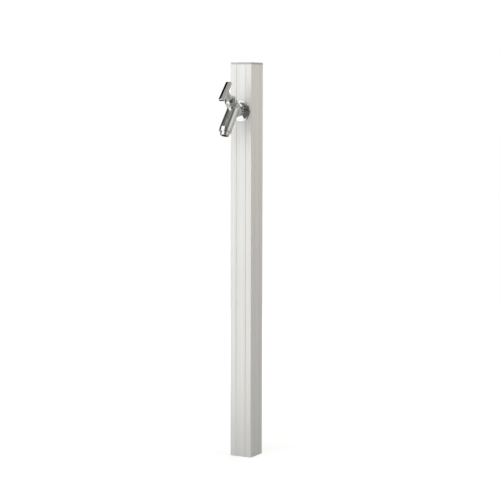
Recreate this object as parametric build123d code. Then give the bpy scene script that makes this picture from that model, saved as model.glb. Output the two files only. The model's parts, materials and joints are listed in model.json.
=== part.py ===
"""Garden standpipe: an aluminium post with a supply pipe inside and a screw-down tap near its top.

Millimetres. +Z is up, the origin is the middle of the post's lower end, and the tap faces -Y.
The tap's axes all lie in the plane x = 0.
"""
from build123d import *
from math import cos, hypot, radians, sin
import os

# Fits, and how far a cutter or a joined piece reaches past a surface
FIT_GAP = 0.05
HOLE_GAP = 0.2
OVERRUN = 1.0
OVERCUT = 0.001

# Post
POST_SIDE = 60.0
POST_LENGTH = 1000.0
POST_WALL = 2.0
POST_CORNER_R = 1.2
GROOVE_OFFSET = 13.5
GROOVE_WIDTH = 1.5
GROOVE_DEPTH = 0.4
RIB_WIDTH = 5.0
RIB_HEIGHT = 1.2
HALF = POST_SIDE / 2
INSIDE = HALF - POST_WALL
BACKING = POST_WALL + RIB_HEIGHT

# Cap
CAP_PLATE = 5.0
CAP_EDGE_R = 0.8
CAP_SKIRT = 14.0
CAP_SKIRT_WALL = 2.0
CAP_GAP = 1.5
CAP_LUG_SIDE = 8.0
CAP_SCREW_X = 19.0
CAP_SCREW_DROP = 8.0
CAP_SCREW_R = 2.0
CAP_SCREW_LENGTH = 12.0
CAP_SCREW_HEAD_R = 3.9
CAP_SCREW_HEAD_HEIGHT = 2.4
CAP_SCREW_HEAD_EDGE_R = 1.2
RECESS_LENGTH = 4.3
RECESS_WIDTH = 0.9
RECESS_DEPTH = 1.2

# Supply pipe, nominal bore 13, and its fittings
PIPE_R = 9.0
PIPE_BORE_R = 6.5
PIPE_Y = -6.0
SOCKET_BORE_R = 9.1
SOCKET_R = 12.5
SOCKET_DEPTH = 26.0
SOCKET_STOP = 2.0
SOCKET_Z = 8.0
GUIDE_Z = 30.0
GUIDE_THICKNESS = 6.0
SPACER_HEIGHTS = (330.0, 610.0)
SPACER_THICKNESS = 20.0
FILLER_PLAY = 0.3
FILLER_SIDE = 2 * (HALF - BACKING - FILLER_PLAY)

# Elbow behind the tap
TAP_HEIGHT = 883.0
ELBOW_NECK_R = 14.0
ELBOW_ARM_R = 15.5
ELBOW_LEG_R = 12.5
ELBOW_LEG_LENGTH = 36.0
ELBOW_WATERWAY_R = 6.5
ELBOW_FLANGE_HEIGHT = 46.0
ELBOW_FLANGE_WIDTH = 34.0
ELBOW_FLANGE_THICKNESS = 5.0
ELBOW_FLANGE_CORNER_R = 3.0
ELBOW_CORNER_R = 15.9
ELBOW_WATERWAY_CORNER_R = 7.0
PIPE_IN_ELBOW = 22.0
INSERT_R = 12.5
INSERT_LENGTH = 18.0
INSERT_BORE_R = 10.5
ELBOW_SCREW_OFFSET = 18.5
ELBOW_SCREW_R = 2.0
ELBOW_SCREW_HEAD_R = 3.6
ELBOW_SCREW_LENGTH = 7.5
WALL_HOLE_R = ELBOW_NECK_R + HOLE_GAP

# Tap: where its axes run
INLET_REACH = 25.0
SPINDLE_TILT = 41.5
SPOUT_DROP = 51.8
TIP_DROP = 70.0
SPOUT_RISE = 14.8
SPOUT_LENGTH = 67.5
TIP_LENGTH = 8.4
SPOUT_STRAIGHT = 5.0

# Tap body
TAIL_R = 10.25
TAIL_LENGTH = 15.0
TAPE_R = 10.45
TAPE_GAP = 0.02
TAPE_MARGIN = 1.0
STUB_R = 12.5
SHOULDER_U = 6.9
HOUSING_R = 15.3
HOUSING_TOP = 30.5
BLEND_R = 3.0
SPOUT_TOP_R = 15.2
SPOUT_END_R = 15.9
INLET_BORE_R = 6.0
SEAT_D = 7.0
SEAT_HOLE_R = 6.0
SEAT_LIP_R = 7.8
SEAT_LIP_HEIGHT = 1.0
CHAMBER_R = 10.5
CHAMBER_TOP = 24.0
THREAD_BORE_R = 7.0
NECK_R = 12.5
NECK_TOP = 37.5
SPOUT_BORE_R = 8.0
SPOUT_BORE_START = 8.2
TIP_SOCKET_R = 10.0
TIP_SOCKET_DEPTH = 8.0
TIP_EDGE_R = 1.0

# Outlet
NOZZLE_R = 11.75
NOZZLE_LENGTH = 9.2
NOZZLE_BORE_R = 8.0
NOZZLE_SHANK = 6.0
NOZZLE_EDGE_R = 1.8
SCREEN_THICKNESS = 1.0
SCREEN_HOLE_R = 1.1
SCREEN_PITCH = 3.2
SCREEN_ROWS = 3
GASKET_THICKNESS = 1.0

# Escutcheon: points of its section as (radius, height from the wall), outside and inside of the sheet
ESCUTCHEON_HOLE_R = 10.75
BRIM_OUTSIDE = ((26.0, 0.0), (26.0, 1.3), (25.6, 2.25), (24.7, 2.6), (23.4, 2.6), (22.6, 2.3), (22.2, 1.9))
DOME_OUTSIDE = ((22.2, 1.9), (17.8, 4.7), (13.2, SHOULDER_U))
DOME_INSIDE = ((12.9, 5.8), (17.3, 3.6), (21.3, 1.1))
BRIM_INSIDE = ((21.3, 1.1), (21.7, 0.8), (22.6, 0.5), (24.9, 0.0))

# Bonnet nut and stem seal, heights measured along the spindle from the inlet axis
NUT_FLATS = 27.0
NUT_TURN = -12.0
NUT_LOW = 31.0
NUT_HEX_TOP = 43.7
NUT_CORNER_CUT = 1.6
NUT_TOP = 46.6
NUT_CORNER_R = 15.5
NUT_COLLAR_R = 14.2
NUT_COLLAR_TOP = 34.0
NUT_FACE_R = 13.2
NUT_NOSE_FOOT_R = 12.2
NUT_NOSE_R = 9.2
STEM_R = 4.0
STEM_CLEARANCE = 0.05
PACKING_R = 7.5
PACKING_LOW = 39.5
PACKING_TOP = 43.0
PACKING_SHOULDER = 1.2
PACKING_LIP = 1.4
PACKING_WASHER_LOW = 38.5
BONNET_GASKET_BORE_R = 8.5

# Jumper valve
JUMPER_R = 7.5
JUMPER_LOW = 10.0
JUMPER_TOP = 12.0
JUMPER_STEM_R = 3.0
JUMPER_STEM_TOP = 20.0
JUMPER_STUD_R = 1.5
JUMPER_WASHER_LOW = 7.05
JUMPER_NUT_FLATS = 5.0
JUMPER_NUT_LOW = 4.8
JUMPER_STUD_LOW = 4.2

# Spindle
SPINDLE_FOOT_D = 12.05
SPINDLE_FOOT_R = 5.6
SPINDLE_THREAD_R = 6.95
SPINDLE_THREAD_LOW = 20.5
SPINDLE_THREAD_TOP = 33.0
SPINDLE_SOCKET_TOP = 21.0
SPINDLE_SQUARE = 5.5
SPINDLE_SQUARE_LOW = 49.0
SPINDLE_TOP = 62.0

# Handle
HANDLE_FRONT = 79.0
BAR_LENGTH = 58.0
BAR_WIDTH = 15.0
BAR_SIDE_THICKNESS = 6.3
BAR_RIDGE = 1.7
BAR_CORNER_R = 1.6
BAR_HIP = 1.0
BAR_EDGE_R = 0.4
BOSS_R = 8.3
BOSS_LOW = 47.2
SET_SCREW_D = 55.0
SET_SCREW_R = 2.0
SET_SCREW_LENGTH = 4.6
SET_SCREW_SOCKET = 2.0
SET_SCREW_SOCKET_DEPTH = 2.2
BOSS_BORE_R = 4.3
SQUARE_HOLE_SPARE = 0.5


def direction(drop):
    """Unit vector in the plane x = 0, out from the wall and down by this many degrees."""
    return Vector(0, -cos(radians(drop)), -sin(radians(drop)))


INLET_CENTRE = Vector(0, -HALF, TAP_HEIGHT)
VALVE_CENTRE = INLET_CENTRE + direction(0) * INLET_REACH
SPINDLE_DIRECTION = direction(-SPINDLE_TILT)
SPOUT_START = VALVE_CENTRE + SPINDLE_DIRECTION * SPOUT_RISE
SPOUT_END = SPOUT_START + direction(SPOUT_DROP) * SPOUT_LENGTH

# Local frames, each with its own +Z along the axis that it is named for
INLET = Plane(origin=INLET_CENTRE, x_dir=(1, 0, 0), z_dir=direction(0)).location
SPINDLE = Plane(origin=VALVE_CENTRE, x_dir=(1, 0, 0), z_dir=SPINDLE_DIRECTION).location
SPOUT = Plane(origin=SPOUT_START, x_dir=(1, 0, 0), z_dir=direction(SPOUT_DROP)).location
TIP = Plane(origin=SPOUT_END, x_dir=(1, 0, 0), z_dir=direction(TIP_DROP)).location
SET_SCREW = SPINDLE * Pos(0, 0, SET_SCREW_D) * Rot(0, -90, 0)

ON_BASE = (Align.CENTER, Align.CENTER, Align.MIN)
RIB_ALIGN = (Align.CENTER, Align.MIN)


def rod(radius, low, high):
    """Cylinder about the local Z axis between two heights."""
    return Pos(0, 0, low) * Cylinder(radius, high - low, align=ON_BASE)


def ring(outer, inner, low, high):
    """Tube about the local Z axis between two heights."""
    return rod(outer, low, high) - rod(inner, low - OVERRUN, high + OVERRUN)


def turned(*outline):
    """Solid turned about the local Z axis from an outline of (radius, height) points."""
    return revolve(Plane.XZ * make_face(Polyline(*outline, close=True)), axis=Axis.Z)


def hexagon(flats, low, high):
    """Hexagonal bar about the local Z axis, given across its flats."""
    outline = RegularPolygon(flats / 2, 6, major_radius=False)
    return Pos(0, 0, low) * extrude(outline, amount=high - low)


def block(width, depth, low, high):
    """Square-edged bar about the local Z axis between two heights."""
    return Pos(0, 0, low) * Box(width, depth, high - low, align=ON_BASE)


def cross_recess(top):
    """Cutter for a screw head's cross, sunk from this height."""
    arm = block(RECESS_LENGTH, RECESS_WIDTH, top - RECESS_DEPTH, top + OVERRUN)
    return arm + Rot(0, 0, 90) * arm


def blended(first, second):
    """Union with its inner corners rounded, as in a casting."""
    joined = first + second
    return fillet(new_edges(first, second, combined=joined), BLEND_R)


# Post and cap
def post_tube():
    """Extruded square tube with two shallow V grooves down each face, holed for elbow and screws."""
    section = RectangleRounded(POST_SIDE, POST_SIDE, POST_CORNER_R)
    section -= RectangleRounded(2 * INSIDE, 2 * INSIDE, POST_CORNER_R)
    for turn in range(4):
        for side in (-1, 1):
            middle = side * GROOVE_OFFSET
            rib = Rectangle(RIB_WIDTH, BACKING - POST_WALL / 2, align=RIB_ALIGN)
            section += Rot(0, 0, 90 * turn) * Pos(middle, HALF - BACKING) * rib
            groove = make_face(Polyline((middle - GROOVE_WIDTH / 2, HALF + OVERCUT),
                                        (middle, HALF - GROOVE_DEPTH),
                                        (middle + GROOVE_WIDTH / 2, HALF + OVERCUT), close=True))
            section -= Rot(0, 0, 90 * turn) * groove
    tube = extrude(section, amount=POST_LENGTH)
    tube -= INLET * rod(WALL_HOLE_R, -BACKING - OVERRUN, OVERRUN)
    for side in (-1, 1):
        tube -= INLET * Pos(0, side * ELBOW_SCREW_OFFSET, 0) * countersunk(FIT_GAP)
        tube -= cap_screw_place(side) * rod(CAP_SCREW_R + HOLE_GAP, -POST_WALL - OVERRUN, OVERRUN)
    return tube


def cap_screw_place(side):
    """Frame on the back face of the post, +Z out of the face."""
    height = POST_LENGTH - CAP_SCREW_DROP
    return Plane(origin=(side * CAP_SCREW_X, HALF, height), x_dir=(1, 0, 0), z_dir=(0, 1, 0)).location


def top_cap():
    """Flat cap, flush with the post, with a skirt and two screw lugs inside the tube."""
    skirt_side = 2 * (INSIDE - CAP_GAP)
    plate = extrude(RectangleRounded(POST_SIDE, POST_SIDE, POST_CORNER_R), amount=CAP_PLATE)
    plate = fillet(plate.faces().sort_by(Axis.Z)[-1].edges(), CAP_EDGE_R)
    cap = Pos(0, 0, POST_LENGTH) * plate
    skirt = RectangleRounded(skirt_side, skirt_side, POST_CORNER_R)
    skirt -= Rectangle(skirt_side - 2 * CAP_SKIRT_WALL, skirt_side - 2 * CAP_SKIRT_WALL)
    cap += Pos(0, 0, POST_LENGTH - CAP_SKIRT) * extrude(skirt, amount=CAP_SKIRT + OVERRUN)
    lug_y = skirt_side / 2 - CAP_LUG_SIDE / 2
    for side in (-1, 1):
        lug = block(CAP_LUG_SIDE, CAP_LUG_SIDE, POST_LENGTH - CAP_SKIRT, POST_LENGTH + OVERRUN)
        cap += Pos(side * CAP_SCREW_X, lug_y, 0) * lug
    for side in (-1, 1):
        cap -= cap_screw_place(side) * rod(CAP_SCREW_R + FIT_GAP, -CAP_SCREW_LENGTH - OVERRUN, 0)
    return cap


def cap_screws():
    """Two pan-head screws through the back wall, with cross recesses."""
    head = rod(CAP_SCREW_HEAD_R, 0, CAP_SCREW_HEAD_HEIGHT)
    head = fillet(head.edges().sort_by(Axis.Z)[-1], CAP_SCREW_HEAD_EDGE_R)
    screw = head + rod(CAP_SCREW_R, -CAP_SCREW_LENGTH, OVERRUN) - cross_recess(CAP_SCREW_HEAD_HEIGHT)
    return Compound(children=[cap_screw_place(side) * screw for side in (-1, 1)])


# Water supply inside the post
def supply_pipe():
    """Rigid pipe from the bottom socket up to the elbow."""
    low = SOCKET_Z + SOCKET_DEPTH + SOCKET_STOP
    high = TAP_HEIGHT - ELBOW_LEG_LENGTH + PIPE_IN_ELBOW
    return Pos(0, PIPE_Y, 0) * ring(PIPE_R, PIPE_BORE_R, low, high)


def bottom_socket():
    """Straight coupling with a stop in the middle; its lower half takes the pipe from the ground."""
    length = 2 * SOCKET_DEPTH + SOCKET_STOP
    socket = ring(SOCKET_R, PIPE_BORE_R, 0, length)
    for low in (0, length - SOCKET_DEPTH):
        socket -= rod(SOCKET_BORE_R, low, low + SOCKET_DEPTH)
    return Pos(0, PIPE_Y, SOCKET_Z) * socket


def filler(thickness, hole_r):
    """Square block that fills the tube round the pipe."""
    plate = extrude(RectangleRounded(FILLER_SIDE, FILLER_SIDE, POST_CORNER_R), amount=thickness)
    return plate - Pos(0, PIPE_Y, 0) * rod(hole_r, -OVERRUN, thickness + OVERRUN)


def socket_guide():
    """Moulded plate that holds the bottom socket in the middle of the post."""
    return Pos(0, 0, GUIDE_Z) * filler(GUIDE_THICKNESS, SOCKET_R + FIT_GAP)


def pipe_spacer(height):
    """Foam block that stops the pipe rattling in the post."""
    return Pos(0, 0, height) * filler(SPACER_THICKNESS, PIPE_R + FIT_GAP)


# Elbow behind the front wall
def countersunk(gap):
    """Countersunk screw shape in the front wall, +Z out; gap widens it into its own hole."""
    slope = ELBOW_SCREW_HEAD_R - ELBOW_SCREW_R
    return turned((0, -ELBOW_SCREW_LENGTH), (ELBOW_SCREW_R + gap, -ELBOW_SCREW_LENGTH),
                  (ELBOW_SCREW_R + gap, -slope), (ELBOW_SCREW_HEAD_R + gap, 0), (0, 0))


def elbow_screws():
    """Two countersunk screws, flush with the post and covered by the escutcheon."""
    screw = countersunk(0) - cross_recess(0)
    places = [INLET * Pos(0, side * ELBOW_SCREW_OFFSET, 0) for side in (-1, 1)]
    return Compound(children=[place * screw for place in places])


def tap_elbow():
    """Plastic elbow: flange and neck at the front wall, leg down to the supply pipe."""
    reach = HALF + PIPE_Y
    corner = Pos(0, PIPE_Y, TAP_HEIGHT)
    flange = RectangleRounded(ELBOW_FLANGE_WIDTH, ELBOW_FLANGE_HEIGHT, ELBOW_FLANGE_CORNER_R)
    flange = extrude(flange, amount=ELBOW_FLANGE_THICKNESS)
    arm = rod(ELBOW_NECK_R, -reach, 0) + rod(ELBOW_ARM_R, -reach, -BACKING)
    elbow = INLET * (arm + Pos(0, 0, -BACKING - ELBOW_FLANGE_THICKNESS) * flange)
    elbow += corner * (rod(ELBOW_LEG_R, -ELBOW_LEG_LENGTH, 0) + Sphere(ELBOW_CORNER_R))
    elbow -= INLET * rod(INSERT_R + FIT_GAP, -INSERT_LENGTH, OVERRUN)
    elbow -= INLET * rod(ELBOW_WATERWAY_R, -reach, 0)
    elbow -= corner * Sphere(ELBOW_WATERWAY_CORNER_R)
    socket_top = -ELBOW_LEG_LENGTH + PIPE_IN_ELBOW
    elbow -= corner * rod(ELBOW_WATERWAY_R, socket_top - OVERRUN, 0)
    elbow -= corner * rod(SOCKET_BORE_R, -ELBOW_LEG_LENGTH - OVERRUN, socket_top)
    for side in (-1, 1):
        hole = rod(ELBOW_SCREW_R + FIT_GAP, -ELBOW_SCREW_LENGTH - OVERRUN, 0)
        elbow -= INLET * Pos(0, side * ELBOW_SCREW_OFFSET, 0) * hole
    return elbow


def elbow_insert():
    """Brass insert with the female thread that the tap screws into."""
    return INLET * ring(INSERT_R, INSERT_BORE_R, -INSERT_LENGTH, 0)


def seal_tape():
    """Wrap of thread tape on the tap's tail."""
    return INLET * ring(TAPE_R, TAIL_R + TAPE_GAP, -TAIL_LENGTH + TAPE_MARGIN, -TAPE_MARGIN)


# Tap body and escutcheon
def escutcheon():
    """Spun cover plate: round brim, narrow hollow, then a low dome up to the tap's shoulder."""
    hole_low, hole_high = (ESCUTCHEON_HOLE_R, DOME_INSIDE[0][1]), (ESCUTCHEON_HOLE_R, DOME_OUTSIDE[-1][1])
    section = Polyline(*BRIM_OUTSIDE) + ThreePointArc(*DOME_OUTSIDE)
    section += Polyline(DOME_OUTSIDE[-1], hole_high, hole_low, DOME_INSIDE[0]) + ThreePointArc(*DOME_INSIDE)
    section += Polyline(*BRIM_INSIDE, BRIM_OUTSIDE[0])
    return INLET * revolve(Plane.XZ * make_face(section.edges()), axis=Axis.Z)


def tap_body():
    """One brass casting: inlet stub, valve housing, spout and its turned-down tip."""
    stub = rod(STUB_R, SHOULDER_U, INLET_REACH) + rod(TAIL_R, -TAIL_LENGTH, SHOULDER_U + OVERRUN)
    housing = Sphere(HOUSING_R) + rod(HOUSING_R, 0, HOUSING_TOP)
    housing += rod(NECK_R, HOUSING_TOP - OVERRUN, NECK_TOP)
    return blended(blended(INLET * stub, SPINDLE * housing), spout_outside()) - waterways()


def spout_outside():
    """Slightly tapered spout barrel, mitred to a short tip that points further down."""
    mitre = Plane(origin=SPOUT_END, x_dir=(1, 0, 0), z_dir=direction((SPOUT_DROP + TIP_DROP) / 2))
    straight = SPOUT_LENGTH - SPOUT_STRAIGHT
    overrun = SPOUT_LENGTH + SPOUT_STRAIGHT
    barrel = turned((0, 0), (SPOUT_TOP_R, 0), (SPOUT_END_R, straight), (SPOUT_END_R, overrun), (0, overrun))
    tip = rod(SPOUT_END_R, -SPOUT_STRAIGHT, TIP_LENGTH)
    tip = fillet(tip.edges().sort_by(Axis.Z)[-1], TIP_EDGE_R)
    upper = split(SPOUT * barrel, bisect_by=mitre, keep=Keep.BOTTOM)
    lower = split(TIP * tip, bisect_by=mitre, keep=Keep.TOP)
    return upper + lower


def waterways():
    """Everything that is hollow in the tap body, from the tail to the outlet."""
    inlet = INLET * rod(INLET_BORE_R, -TAIL_LENGTH - OVERRUN, INLET_REACH)
    chamber = rod(CHAMBER_R, SEAT_D - SEAT_LIP_HEIGHT, CHAMBER_TOP)
    chamber -= rod(SEAT_LIP_R, 0, SEAT_D)
    valve = chamber + rod(THREAD_BORE_R, CHAMBER_TOP - OVERRUN, NECK_TOP + OVERRUN)
    valve = valve + rod(SEAT_HOLE_R, 0, SEAT_D + OVERRUN) + Sphere(INLET_BORE_R)
    spout = SPOUT * rod(SPOUT_BORE_R, SPOUT_BORE_START, SPOUT_LENGTH) + TIP * Sphere(SPOUT_BORE_R)
    tip = rod(SPOUT_BORE_R, 0, TIP_LENGTH)
    tip += rod(TIP_SOCKET_R, TIP_LENGTH - TIP_SOCKET_DEPTH, TIP_LENGTH + OVERRUN)
    return inlet + SPINDLE * valve + spout + TIP * tip


# Outlet
def nozzle_ring():
    """Outlet ring with a shank that screws up into the tip."""
    end = TIP_LENGTH + NOZZLE_LENGTH
    outside = fillet(rod(NOZZLE_R, TIP_LENGTH, end).edges().sort_by(Axis.Z)[-1], NOZZLE_EDGE_R)
    nozzle = outside + rod(TIP_SOCKET_R - FIT_GAP, TIP_LENGTH - NOZZLE_SHANK, TIP_LENGTH + OVERRUN)
    nozzle -= rod(NOZZLE_BORE_R, 0, end + OVERRUN)
    return TIP * nozzle


def flow_screen():
    """Perforated disc that straightens the stream."""
    low = TIP_LENGTH - NOZZLE_SHANK - SCREEN_THICKNESS
    disc = rod(TIP_SOCKET_R - FIT_GAP, low, low + SCREEN_THICKNESS)
    reach = NOZZLE_BORE_R - SCREEN_HOLE_R
    hole = rod(SCREEN_HOLE_R, low - OVERRUN, low + SCREEN_THICKNESS + OVERRUN)
    for row in range(-SCREEN_ROWS, SCREEN_ROWS + 1):
        for column in range(-SCREEN_ROWS, SCREEN_ROWS + 1):
            x = (column + (row % 2) / 2) * SCREEN_PITCH
            y = row * SCREEN_PITCH * sin(radians(60))
            if hypot(x, y) < reach:
                disc -= Pos(x, y, 0) * hole
    return TIP * disc


def nozzle_gasket():
    """Rubber ring between the screen and the shoulder in the tip."""
    low = TIP_LENGTH - NOZZLE_SHANK - SCREEN_THICKNESS - GASKET_THICKNESS
    return TIP * ring(TIP_SOCKET_R - FIT_GAP, NOZZLE_BORE_R, low, low + GASKET_THICKNESS)


# Bonnet
def bonnet_nut():
    """Hexagonal cap nut with a round collar below and a tapered nose above."""
    trim = turned((0, NUT_LOW), (NUT_CORNER_R, NUT_LOW), (NUT_CORNER_R, NUT_HEX_TOP - NUT_CORNER_CUT),
                  (NUT_FACE_R, NUT_HEX_TOP), (0, NUT_HEX_TOP))
    nut = Rot(0, 0, NUT_TURN) * hexagon(NUT_FLATS, NUT_LOW + OVERRUN, NUT_HEX_TOP) & trim
    nut += rod(NUT_COLLAR_R, NUT_LOW, NUT_COLLAR_TOP)
    nut += turned((0, NUT_HEX_TOP - OVERRUN), (NUT_NOSE_FOOT_R, NUT_HEX_TOP - OVERRUN),
                  (NUT_NOSE_FOOT_R, NUT_HEX_TOP), (NUT_NOSE_R, NUT_TOP), (0, NUT_TOP))
    nut -= rod(NECK_R + FIT_GAP, NUT_LOW - OVERRUN, NECK_TOP + GASKET_THICKNESS)
    nut -= rod(PACKING_R + FIT_GAP, NUT_LOW, PACKING_TOP)
    nut -= rod(STEM_R + STEM_CLEARANCE, NUT_LOW, NUT_TOP + OVERRUN)
    return SPINDLE * nut


def bonnet_gasket():
    """Fibre ring between the cap nut and the top of the body."""
    return SPINDLE * ring(NECK_R, BONNET_GASKET_BORE_R, NECK_TOP, NECK_TOP + GASKET_THICKNESS)


def packing_washer():
    """Brass washer that carries the stem packing."""
    return SPINDLE * ring(PACKING_R, STEM_R + STEM_CLEARANCE, PACKING_WASHER_LOW, PACKING_LOW)


def stem_packing():
    """Rubber packing with the wedge section that seals the stem."""
    bore = STEM_R + STEM_CLEARANCE
    return SPINDLE * turned((bore, PACKING_LOW), (PACKING_R, PACKING_LOW),
                            (PACKING_R, PACKING_LOW + PACKING_SHOULDER),
                            (bore + PACKING_LIP, PACKING_TOP), (bore, PACKING_TOP))


# Jumper valve
def jumper_valve():
    """Loose brass valve disc with a guide stem above and a stud for its washer below."""
    disc = rod(JUMPER_R, JUMPER_LOW, JUMPER_TOP)
    stem = rod(JUMPER_STEM_R, JUMPER_TOP - OVERRUN, JUMPER_STEM_TOP)
    stud = rod(JUMPER_STUD_R, JUMPER_STUD_LOW, JUMPER_LOW + OVERRUN)
    return SPINDLE * (disc + stem + stud)


def jumper_washer():
    """Rubber washer that closes on the seat."""
    return SPINDLE * ring(JUMPER_R, JUMPER_STUD_R, JUMPER_WASHER_LOW, JUMPER_LOW)


def jumper_nut():
    """Small nut that holds the washer on its stud, inside the seat hole."""
    nut = hexagon(JUMPER_NUT_FLATS, JUMPER_NUT_LOW, JUMPER_WASHER_LOW)
    return SPINDLE * (nut - rod(JUMPER_STUD_R, 0, JUMPER_LOW))


# Spindle and handle
def spindle():
    """Screw spindle, hollow at its foot for the jumper's stem, square at its top for the handle."""
    screw = rod(SPINDLE_FOOT_R, SPINDLE_FOOT_D, SPINDLE_THREAD_LOW + OVERRUN)
    screw += rod(SPINDLE_THREAD_R, SPINDLE_THREAD_LOW, SPINDLE_THREAD_TOP)
    screw += rod(STEM_R, SPINDLE_THREAD_TOP - OVERRUN, SPINDLE_SQUARE_LOW)
    screw += block(SPINDLE_SQUARE, SPINDLE_SQUARE, SPINDLE_SQUARE_LOW - OVERRUN, SPINDLE_TOP)
    screw -= rod(JUMPER_STEM_R + STEM_CLEARANCE, SPINDLE_FOOT_D - OVERRUN, SPINDLE_SOCKET_TOP)
    return SPINDLE * screw


def handle():
    """Tee handle: round boss under a bar with a low ridge along its front."""
    back = HANDLE_FRONT - BAR_RIDGE - BAR_SIDE_THICKNESS
    side = HANDLE_FRONT - BAR_RIDGE
    half = BAR_WIDTH / 2
    section = make_face(Polyline((-half, back), (half, back), (half, side), (0, HANDLE_FRONT), (-half, side),
                                 close=True))
    bar = extrude(Plane.XZ * section, amount=BAR_LENGTH / 2, both=True)
    bar = fillet(bar.edges().filter_by(Axis.Z), BAR_CORNER_R)
    end = BAR_LENGTH / 2
    hipped = make_face(Polyline((-end, back), (end, back), (end, side), (end - BAR_HIP, HANDLE_FRONT),
                                (BAR_HIP - end, HANDLE_FRONT), (-end, side), close=True))
    bar = bar & extrude(Plane.YZ * hipped, amount=BAR_WIDTH, both=True)
    bar = fillet(bar.edges(), BAR_EDGE_R)
    lever = bar + rod(BOSS_R, BOSS_LOW, back + OVERRUN)
    square = SPINDLE_SQUARE + 2 * FIT_GAP
    lever -= block(square, square, BOSS_LOW, SPINDLE_TOP + SQUARE_HOLE_SPARE)
    lever -= rod(BOSS_BORE_R, BOSS_LOW - OVERRUN, SPINDLE_SQUARE_LOW)
    return SPINDLE * lever - SET_SCREW * rod(SET_SCREW_R + FIT_GAP, 0, BOSS_R)


def handle_set_screw():
    """Headless screw through the side of the boss onto the spindle's square."""
    low = SPINDLE_SQUARE / 2
    high = low + SET_SCREW_LENGTH
    screw = rod(SET_SCREW_R, low, high)
    screw -= hexagon(SET_SCREW_SOCKET, high - SET_SCREW_SOCKET_DEPTH, high + OVERRUN)
    return SET_SCREW * screw


def parts():
    """Every piece by its node name, in its place."""
    pieces = {
        "post_tube": post_tube(), "top_cap": top_cap(), "cap_screws": cap_screws(),
        "supply_pipe": supply_pipe(), "bottom_socket": bottom_socket(), "socket_guide": socket_guide(),
        "tap_elbow": tap_elbow(), "elbow_insert": elbow_insert(), "elbow_screws": elbow_screws(),
        "seal_tape": seal_tape(), "escutcheon": escutcheon(), "tap_body": tap_body(),
        "nozzle_ring": nozzle_ring(), "flow_screen": flow_screen(), "nozzle_gasket": nozzle_gasket(),
        "bonnet_nut": bonnet_nut(), "bonnet_gasket": bonnet_gasket(), "packing_washer": packing_washer(),
        "stem_packing": stem_packing(), "jumper_valve": jumper_valve(), "jumper_washer": jumper_washer(),
        "jumper_nut": jumper_nut(), "spindle": spindle(), "handle": handle(),
        "handle_set_screw": handle_set_screw(),
    }
    for number, height in enumerate(SPACER_HEIGHTS, start=1):
        pieces[f"pipe_spacer_{number}"] = pipe_spacer(height)
    return pieces


if __name__ == "__main__":
    os.makedirs("parts", exist_ok=True)
    for name, shape in parts().items():
        export_step(shape, f"parts/{name}.step")
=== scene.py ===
"""Looks of the garden standpipe: a finish for every piece, the studio it stands in, and the camera.

Metres, in the CAD model's own frame: +Z is up, the floor is at z = 0 and the tap faces -Y.
"""
import json
from math import cos, degrees, pi, radians, sin

import bpy
from mathutils import Matrix, Vector

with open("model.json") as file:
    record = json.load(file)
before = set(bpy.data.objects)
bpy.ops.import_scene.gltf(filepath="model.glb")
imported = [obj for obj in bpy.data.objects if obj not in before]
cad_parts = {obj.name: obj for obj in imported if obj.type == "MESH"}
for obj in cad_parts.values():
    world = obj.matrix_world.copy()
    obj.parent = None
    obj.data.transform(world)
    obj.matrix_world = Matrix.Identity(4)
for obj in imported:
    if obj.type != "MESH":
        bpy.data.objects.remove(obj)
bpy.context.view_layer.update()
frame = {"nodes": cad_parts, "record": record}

WHITE = (1.0, 1.0, 1.0)

# Camera, fitted to the photograph's frame of 500 x 500. It looks at a point at the object's middle height,
# moved to the right and up in the picture; azimuth runs from the front towards +X.
CAMERA_AZIMUTH = radians(28.721)
CAMERA_ELEVATION = radians(5.5475)
CAMERA_ROLL = radians(0.1178)
CAMERA_DISTANCE = 4.0977
CAMERA_TARGET_HEIGHT = 0.5025
CAMERA_RIGHT = 0.008674
CAMERA_UP = 0.027238
CAMERA_LENS_MM = 115.516
CAMERA_SENSOR_MM = 36.0

# Roughness of every noise texture: how strong its finer octaves are
NOISE_ROUGHNESS = 0.55

# A Mix node's colour sockets, which share their names with the sockets for plain numbers
MIX_FIRST = 6
MIX_SECOND = 7
MIX_RESULT = 2

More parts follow.
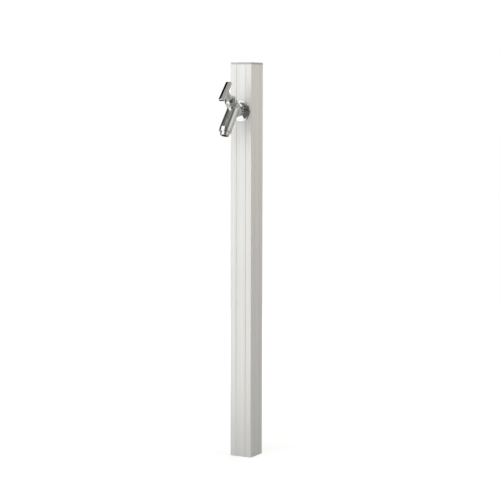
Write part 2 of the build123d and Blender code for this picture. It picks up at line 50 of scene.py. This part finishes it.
# Studio as polished metal sees it, as (azimuths, elevations, level) in degrees, each patch over the ones
# before it. Azimuth runs from the front towards +X.
ROOM = (0.50, 0.485, 0.455)
SOFTBOX = (1.25, 1.25, 1.25)
BLACK_CLOTH = (0.13, 0.13, 0.12)
PANELS = (
    ((-200, 200), (46, 72), (0.27, 0.265, 0.25)),        # ceiling
    ((-200, 200), (72, 95), (0.42, 0.41, 0.38)),         # ceiling above the object
    ((0, 60), (62, 72), (0.32, 0.315, 0.30)),            # ceiling, front right
    ((-78, -20), (55, 68), (0.20, 0.195, 0.185)),        # ceiling, front left
    ((-200, -58), (34, 58), (0.14, 0.14, 0.125)),        # dark flag, upper left
    ((58, 97), (24, 42), (0.25, 0.245, 0.23)),           # wall on the right
    ((62, 93), (36, 64), (0.17, 0.17, 0.16)),            # dark gap on the right
    ((97, 128), (9, 41), (0.76, 0.75, 0.72)),            # strip light on the right
    ((76, 100), (9, 25), (0.72, 0.71, 0.68)),            # its wider lower part
    ((66, 118), (-11, 8), (0.05, 0.05, 0.05)),           # dark flag that draws the side's grooves
    ((60, 150), (-66, -12), (0.42, 0.41, 0.385)),        # ground on the right
    ((97, 117), (-57, -41), (0.27, 0.265, 0.25)),        # darker patch of it
    ((-134, -68), (-66, 46), (0.10, 0.10, 0.09)),        # dark flag, left
    ((-70, -6), (-30, 13), SOFTBOX),                     # large softbox, left
    ((-124, -85), (-50, -28), (0.60, 0.595, 0.58)),      # paler ground, lower left
    ((-90, -6), (-50, -28), SOFTBOX),                    # large softbox, lower part
    ((-92, -6), (-72, -48), SOFTBOX),                    # large softbox, lowest part
    ((-64, 9), (12, 42), SOFTBOX),                       # upper softbox, left of the camera
    ((-80, -28), (38, 49), SOFTBOX),                     # its upper left corner
    ((-5, 62), (-75, 25), BLACK_CLOTH),                  # dark flag round the camera
    ((0, 60), (2, 22), (0.07, 0.07, 0.06)),              # its darkest part
    ((9, 62), (22, 42), BLACK_CLOTH),                    # its upper part
    ((-27, 58), (48, 62), (0.15, 0.15, 0.14)),           # dark gap over the upper softbox
    ((-80, -57), (-28, -10), (0.02, 0.02, 0.02)),        # black notch in the large softbox's left edge
    ((-105, -91), (36, 48), (0.003, 0.003, 0.003)),      # black strip, upper left
    ((-200, 200), (-95, -70), (0.34, 0.335, 0.32)),      # ground under the object
)
PANEL_EDGE = 5.0

# Even fill that matt surfaces get from all round
FILL_COLOUR = (1.0, 1.0, 0.99)
FILL_LEVEL = 0.50

# Floor: a disc that polished metal shows, and a ring round it that polished metal doesn't show
FLOOR_NEAR = 0.45
FLOOR_REACH = 30.0
FLOOR_DROP = 0.0004
FLOOR_SIDES = 96
FLOOR_PAPER = (0.36, 0.36, 0.36)

# The floor's glow to the camera: near the object up to one distance, and far from it beyond another
GLOW_START = 0.25
GLOW_END = 1.2
GLOW_NEAR = 0.67
GLOW_FAR = 0.82

# Dark card in front of the post's top
FLAG_TARGET = (0.013, -0.035, 0.90)
FLAG_PLACE = (0.040, -0.312, 1.111)
FLAG_WIDTH = 0.18
FLAG_HEIGHT = 0.10

# Square soft lamps: name, place, point they are aimed at, side, watts, colour
LAMPS = (
    ("key", (-0.3, -2.3, 1.9), (0.0, 0.0, 0.65), 3.0, 53.0, WHITE),
    ("side", (1.1, 0.4, 1.25), (0.0, 0.0, 0.75), 1.0, 6.0, (1.0, 0.93, 0.84)),
    ("back", (-0.6, 2.3, 1.7), (0.0, 0.0, 0.7), 2.0, 22.0, WHITE),
)


class Nodes:
    """An emptied node tree, with short calls that add a node."""

    def __init__(self, tree):
        self.tree = tree
        self.tree.nodes.clear()

    def fill(self, socket, value):
        """Links an output, or sets a plain value; a colour of three numbers becomes opaque."""
        if isinstance(value, bpy.types.NodeSocket):
            self.tree.links.new(value, socket)
        elif socket.type == "RGBA":
            socket.default_value = (*value, 1.0)
        else:
            socket.default_value = value

    def add(self, kind, *values, **settings):
        """Adds a node, with values for its first inputs in their order, and returns it."""
        made = self.tree.nodes.new(kind)
        for key, value in settings.items():
            setattr(made, key, value)
        for socket, value in zip(made.inputs, values):
            self.fill(socket, value)
        return made

    def maths(self, operation, *values):
        return self.add("ShaderNodeMath", *values, operation=operation).outputs[0]

    def ramp(self, value, levels, results=(0.0, 1.0)):
        """Eased step of a value from one result to the other, between two levels."""
        step = self.add("ShaderNodeMapRange", value, *levels, *results, interpolation_type="SMOOTHSTEP")
        return step.outputs["Result"]

    def mix(self, share, first, second):
        """Mix of two colours, each a socket or (r, g, b)."""
        made = self.add("ShaderNodeMix", share, data_type="RGBA")
        self.fill(made.inputs[MIX_FIRST], first)
        self.fill(made.inputs[MIX_SECOND], second)
        return made.outputs[MIX_RESULT]


class Finish(Nodes):
    """One material's node tree, built round a Principled shader."""

    def __init__(self, name, metallic):
        self.material = bpy.data.materials.new(name)
        self.material.use_nodes = True
        super().__init__(self.material.node_tree)
        self.surface = self.add("ShaderNodeBsdfPrincipled")
        self.surface.inputs["Metallic"].default_value = metallic
        self.add("ShaderNodeOutputMaterial", self.surface.outputs[0])
        self.place = self.add("ShaderNodeTexCoord").outputs["Object"]

    def stretched(self, scale):
        """Object coordinates scaled by (x, y, z), in cycles per metre."""
        mapping = self.add("ShaderNodeMapping", self.place)
        mapping.inputs["Scale"].default_value = scale
        return mapping.outputs["Vector"]

    def noise(self, scale, detail):
        texture = self.add("ShaderNodeTexNoise", self.stretched(scale))
        texture.inputs["Scale"].default_value = 1.0
        texture.inputs["Detail"].default_value = detail
        texture.inputs["Roughness"].default_value = NOISE_ROUGHNESS
        return texture.outputs["Fac"]

    def even_noise(self, cycles, detail):
        """Noise of one scale in all directions."""
        return self.noise((cycles, cycles, cycles), detail)

    def spots(self, cycles):
        """Distance from scattered points, 0 at each."""
        texture = self.add("ShaderNodeTexVoronoi", self.stretched((cycles, cycles, cycles)))
        texture.inputs["Scale"].default_value = 1.0
        return texture.outputs["Distance"]

    def bump(self, height, strength, distance):
        made = self.add("ShaderNodeBump")
        made.inputs["Strength"].default_value = strength
        made.inputs["Distance"].default_value = distance
        self.fill(made.inputs["Height"], height)
        return made.outputs["Normal"]

    def done(self, colour, roughness, normal):
        """Links the surface's colour, roughness and bump, and returns the material."""
        for name, value in (("Base Color", colour), ("Roughness", roughness), ("Normal", normal)):
            self.fill(self.surface.inputs[name], value)
        return self.material


def anodised_aluminium():
    """Satin extrusion: fine die lines along its length, faint broad bands, light scuffs."""
    dull, bright, line_colour = (0.79, 0.785, 0.765), (0.84, 0.837, 0.82), (0.70, 0.69, 0.67)
    finish = Finish("anodised_aluminium", metallic=0.4)
    lines = finish.noise((900.0, 900.0, 1.2), detail=2.0)
    bands = finish.noise((60.0, 60.0, 0.35), detail=2.0)
    scuffs = finish.noise((9.0, 9.0, 5.0), detail=4.0)
    colour = finish.mix(finish.ramp(bands, (0.35, 0.65)), dull, bright)
    colour = finish.mix(finish.ramp(lines, (0.55, 0.8), (0.0, 0.35)), colour, line_colour)
    satin = finish.ramp(lines, (0.3, 0.7), (0.42, 0.50))
    rough = finish.maths("ADD", satin, finish.ramp(scuffs, (0.4, 0.7), (0.0, 0.05)))
    return finish.done(colour, rough, finish.bump(lines, strength=0.12, distance=0.0001))


def cast_cap():
    """Matt silver lacquer over a casting: fine grain, slightly darker than the post."""
    dull, bright, grain_colour = (0.52, 0.515, 0.50), (0.58, 0.575, 0.555), (0.42, 0.41, 0.40)
    finish = Finish("cast_cap", metallic=0.6)
    grain = finish.even_noise(1400.0, detail=3.0)
    cloud = finish.even_noise(45.0, detail=3.0)
    colour = finish.mix(finish.ramp(cloud, (0.35, 0.65)), dull, bright)
    colour = finish.mix(finish.ramp(grain, (0.6, 0.8), (0.0, 0.4)), colour, grain_colour)
    rough = finish.ramp(grain, (0.3, 0.7), (0.45, 0.58))
    return finish.done(colour, rough, finish.bump(grain, strength=0.25, distance=0.0002))


def chrome():
    """Polished plating: soft ripple from hand polishing, faint water marks and hairline wipes."""
    plating, marked = (0.80, 0.805, 0.81), (0.66, 0.66, 0.64)
    finish = Finish("chrome", metallic=1.0)
    ripple = finish.even_noise(55.0, detail=1.0)
    wipes = finish.noise((1500.0, 160.0, 160.0), detail=2.0)
    drops = finish.ramp(finish.spots(240.0), (0.10, 0.22), (1.0, 0.0))
    patches = finish.ramp(finish.even_noise(30.0, detail=3.0), (0.5, 0.7))
    marks = finish.maths("MULTIPLY", drops, patches)
    colour = finish.mix(finish.maths("MULTIPLY", marks, 0.3), plating, marked)
    polish = finish.ramp(wipes, (0.4, 0.75), (0.07, 0.11))
    rough = finish.maths("ADD", polish, finish.maths("MULTIPLY", marks, 0.08))
    return finish.done(colour, rough, finish.bump(ripple, strength=0.1, distance=0.0003))


def stainless():
    """Plain steel of screws and the stream disc."""
    bright, dull = (0.60, 0.59, 0.57), (0.50, 0.49, 0.48)
    finish = Finish("stainless", metallic=1.0)
    turned = finish.even_noise(700.0, detail=3.0)
    colour = finish.mix(finish.ramp(turned, (0.35, 0.7)), bright, dull)
    rough = finish.ramp(turned, (0.3, 0.7), (0.24, 0.38))
    return finish.done(colour, rough, finish.bump(turned, strength=0.2, distance=0.0001))


def brass():
    """Turned brass with a little tarnish."""
    clean, tarnished = (0.78, 0.58, 0.27), (0.55, 0.38, 0.17)
    finish = Finish("brass", metallic=1.0)
    tarnish = finish.even_noise(180.0, detail=4.0)
    fine = finish.even_noise(1200.0, detail=2.0)
    colour = finish.mix(finish.ramp(tarnish, (0.35, 0.7)), clean, tarnished)
    rough = finish.ramp(tarnish, (0.3, 0.7), (0.22, 0.42))
    return finish.done(colour, rough, finish.bump(fine, strength=0.2, distance=0.0001))


def grey_pvc():
    """Dark blue-grey pressure pipe: faint extrusion lines and dust."""
    pipe, dusty = (0.045, 0.055, 0.075), (0.14, 0.145, 0.15)
    finish = Finish("grey_pvc", metallic=0.0)
    lines = finish.noise((800.0, 800.0, 6.0), detail=2.0)
    dust = finish.noise((70.0, 70.0, 25.0), detail=4.0)
    colour = finish.mix(finish.ramp(dust, (0.5, 0.75), (0.0, 0.5)), pipe, dusty)
    rough = finish.ramp(dust, (0.4, 0.7), (0.32, 0.6))
    return finish.done(colour, rough, finish.bump(lines, strength=0.15, distance=0.0001))


def black_plastic():
    """Moulded black plastic with a fine spark-eroded grain."""
    dark, pale = (0.018, 0.018, 0.019), (0.035, 0.035, 0.036)
    finish = Finish("black_plastic", metallic=0.0)
    grain = finish.even_noise(1800.0, detail=3.0)
    cloud = finish.even_noise(60.0, detail=3.0)
    colour = finish.mix(finish.ramp(cloud, (0.4, 0.7)), dark, pale)
    rough = finish.ramp(grain, (0.3, 0.7), (0.42, 0.6))
    return finish.done(colour, rough, finish.bump(grain, strength=0.3, distance=0.0002))


def foam():
    """Closed-cell foam: small cells with paler walls, and pale clouds."""
    cell, wall, clouded = (0.035, 0.035, 0.037), (0.10, 0.10, 0.105), (0.15, 0.15, 0.15)
    finish = Finish("foam", metallic=0.0)
    cells = finish.spots(900.0)
    cloud = finish.even_noise(50.0, detail=3.0)
    colour = finish.mix(finish.ramp(cells, (0.1, 0.5)), cell, wall)
    colour = finish.mix(finish.ramp(cloud, (0.4, 0.7), (0.0, 0.4)), colour, clouded)
    rough = finish.ramp(cells, (0.1, 0.5), (0.8, 0.95))
    return finish.done(colour, rough, finish.bump(cells, strength=0.6, distance=0.0006))


def ptfe():
    """White thread tape, wrapped in fine ridges."""
    white, grey = (0.80, 0.80, 0.79), (0.62, 0.62, 0.60)
    finish = Finish("ptfe", metallic=0.0)
    wraps = finish.noise((120.0, 1600.0, 120.0), detail=2.0)
    colour = finish.mix(finish.ramp(wraps, (0.4, 0.7)), white, grey)
    rough = finish.ramp(wraps, (0.3, 0.7), (0.4, 0.6))
    return finish.done(colour, rough, finish.bump(wraps, strength=0.4, distance=0.0003))


def fibre():
    """Red fibre washer."""
    red, dark_red = (0.26, 0.045, 0.03), (0.16, 0.03, 0.02)
    finish = Finish("fibre", metallic=0.0)
    strands = finish.noise((900.0, 900.0, 300.0), detail=4.0)
    colour = finish.mix(finish.ramp(strands, (0.35, 0.7)), red, dark_red)
    rough = finish.ramp(strands, (0.3, 0.7), (0.65, 0.85))
    return finish.done(colour, rough, finish.bump(strands, strength=0.3, distance=0.0002))


def rubber():
    """Black rubber with a faint bloom."""
    black, bloomed = (0.014, 0.014, 0.014), (0.05, 0.05, 0.052)
    finish = Finish("rubber", metallic=0.0)
    bloom = finish.even_noise(140.0, detail=4.0)
    colour = finish.mix(finish.ramp(bloom, (0.5, 0.75)), black, bloomed)
    rough = finish.ramp(bloom, (0.4, 0.7), (0.5, 0.75))
    return finish.done(colour, rough, finish.bump(bloom, strength=0.2, distance=0.0002))


def dress():
    """Gives each CAD piece the finish of its material slot in the record."""
    finishes = {
        "anodised_aluminium": anodised_aluminium(),
        "cast_cap": cast_cap(),
        "chrome": chrome(),
        "stainless": stainless(),
        "brass": brass(),
        "grey_pvc": grey_pvc(),
        "black_plastic": black_plastic(),
        "foam": foam(),
        "ptfe": ptfe(),
        "fibre": fibre(),
        "rubber": rubber(),
    }
    for part in frame["record"]["subparts"]:
        piece = frame["nodes"][part["node"]]
        piece.data.materials.clear()
        piece.data.materials.append(finishes[part["material_slot"]])


def studio_world():
    """White to the camera, a plain fill for matt surfaces, and the studio's walls for polished metal."""
    world = bpy.data.worlds.new("studio")
    bpy.context.scene.world = world
    world.use_nodes = True
    sky = Nodes(world.node_tree)

    def within(angle, limits):
        """1 between two angles and 0 beyond them, with soft edges."""
        first, last = ((limit - PANEL_EDGE / 2, limit + PANEL_EDGE / 2) for limit in limits)
        return sky.maths("MULTIPLY", sky.ramp(angle, first), sky.ramp(angle, last, (1.0, 0.0)))

    way = sky.add("ShaderNodeSeparateXYZ", sky.add("ShaderNodeTexCoord").outputs["Generated"])
    front = sky.maths("MULTIPLY", way.outputs["Y"], -1.0)
    azimuth = sky.maths("MULTIPLY", sky.maths("ARCTAN2", way.outputs["X"], front), degrees(1.0))
    elevation = sky.maths("MULTIPLY", sky.maths("ARCSINE", way.outputs["Z"]), degrees(1.0))
    seen = ROOM
    for azimuths, elevations, level in PANELS:
        covered = sky.maths("MULTIPLY", within(azimuth, azimuths), within(elevation, elevations))
        seen = sky.mix(covered, seen, level)

    path = sky.add("ShaderNodeLightPath")
    fill = sky.add("ShaderNodeBackground", FILL_COLOUR, FILL_LEVEL)
    walls = sky.add("ShaderNodeBackground", seen, 1.0)
    white = sky.add("ShaderNodeBackground", WHITE, 1.0)
    shiny = sky.maths("MAXIMUM", path.outputs["Is Glossy Ray"], path.outputs["Is Transmission Ray"])
    lit = sky.add("ShaderNodeMixShader", shiny, fill.outputs[0], walls.outputs[0])
    shown = sky.add("ShaderNodeMixShader", path.outputs["Is Camera Ray"], lit.outputs[0], white.outputs[0])
    sky.add("ShaderNodeOutputWorld", shown.outputs[0])


def linked(name, data):
    """New object in the scene."""
    made = bpy.data.objects.new(name, data)
    bpy.context.scene.collection.objects.link(made)
    return made


def aim(made, place, target):
    """Puts a lamp or card at a place, with its front towards the target."""
    made.location = place
    made.rotation_euler = (Vector(target) - Vector(place)).to_track_quat("-Z", "Y").to_euler()


def paper():
    """Floor material: keeps the object's shadow, and glows to the camera so that its lit part is white."""
    material = bpy.data.materials.new("floor")
    material.use_nodes = True
    tree = Nodes(material.node_tree)
    place = tree.add("ShaderNodeTexCoord").outputs["Object"]
    distance = tree.add("ShaderNodeVectorMath", place, operation="LENGTH").outputs["Value"]
    level = tree.ramp(distance, (GLOW_START, GLOW_END), (GLOW_NEAR, GLOW_FAR))
    strength = tree.maths("MULTIPLY", tree.add("ShaderNodeLightPath").outputs["Is Camera Ray"], level)
    matt = tree.add("ShaderNodeBsdfDiffuse", FLOOR_PAPER)
    glow = tree.add("ShaderNodeEmission", WHITE, strength)
    both = tree.add("ShaderNodeAddShader", matt.outputs[0], glow.outputs[0])
    tree.add("ShaderNodeOutputMaterial", both.outputs[0])
    return material


def circle(radius):
    """Points round a circle at the floor's height."""
    turns = [2 * pi * step / FLOOR_SIDES for step in range(FLOOR_SIDES)]
    return [(radius * cos(turn), radius * sin(turn), -FLOOR_DROP) for turn in turns]


def floor():
    """Pale floor in a disc under the object and a ring round that; polished metal shows only the disc."""
    material = paper()
    inner, outer = circle(FLOOR_NEAR), circle(FLOOR_REACH)
    disc = [tuple(range(FLOOR_SIDES))]
    ring = []
    for step in range(FLOOR_SIDES):
        after = (step + 1) % FLOOR_SIDES
        ring.append((step, FLOOR_SIDES + step, FLOOR_SIDES + after, after))
    for name, points, faces in (("floor_middle", inner, disc), ("floor_rest", inner + outer, ring)):
        mesh = bpy.data.meshes.new(name)
        mesh.from_pydata(points, [], faces)
        mesh.materials.append(material)
        made = linked(name, mesh)
        made.visible_glossy = faces is disc


def flag():
    """Dark card that only polished metal shows; it keeps a softbox's reflection off the cover plate."""
    material = bpy.data.materials.new("flag")
    material.use_nodes = True
    material.node_tree.nodes["Principled BSDF"].inputs["Base Color"].default_value = (*BLACK_CLOTH, 1.0)
    across, up = FLAG_WIDTH / 2, FLAG_HEIGHT / 2
    corners = [(-across, -up, 0), (across, -up, 0), (across, up, 0), (-across, up, 0)]
    mesh = bpy.data.meshes.new("flag")
    mesh.from_pydata(corners, [], [(0, 1, 2, 3)])
    mesh.materials.append(material)
    made = linked("flag", mesh)
    aim(made, FLAG_PLACE, FLAG_TARGET)
    for kind in ("visible_camera", "visible_diffuse", "visible_transmission", "visible_shadow"):
        setattr(made, kind, False)


def lamp(name, place, target, side, power, colour):
    """Square soft lamp; polished metal doesn't show it."""
    data = bpy.data.lights.new(name, "AREA")
    data.size = side
    data.energy = power
    data.color = colour
    made = linked(name, data)
    aim(made, place, target)
    made.visible_glossy = False


def camera():
    """The photograph's viewpoint."""
    turn, rise = CAMERA_AZIMUTH, CAMERA_ELEVATION
    back = Vector((sin(turn) * cos(rise), -cos(turn) * cos(rise), sin(rise)))
    right = Vector((cos(turn), sin(turn), 0.0))
    up = back.cross(right)
    target = Vector((0.0, 0.0, CAMERA_TARGET_HEIGHT)) + right * CAMERA_RIGHT + up * CAMERA_UP
    rolled_right = right * cos(CAMERA_ROLL) + up * sin(CAMERA_ROLL)
    rolled_up = up * cos(CAMERA_ROLL) - right * sin(CAMERA_ROLL)
    data = bpy.data.cameras.new("camera")
    data.lens = CAMERA_LENS_MM
    data.sensor_width = CAMERA_SENSOR_MM
    made = linked("camera", data)
    axes = Matrix((rolled_right, rolled_up, back)).transposed().to_4x4()
    made.matrix_world = Matrix.Translation(target + back * CAMERA_DISTANCE) @ axes
    bpy.context.scene.camera = made


dress()
studio_world()
floor()
flag()
for row in LAMPS:
    lamp(*row)
camera()
bpy.context.scene.view_settings.view_transform = "Standard"
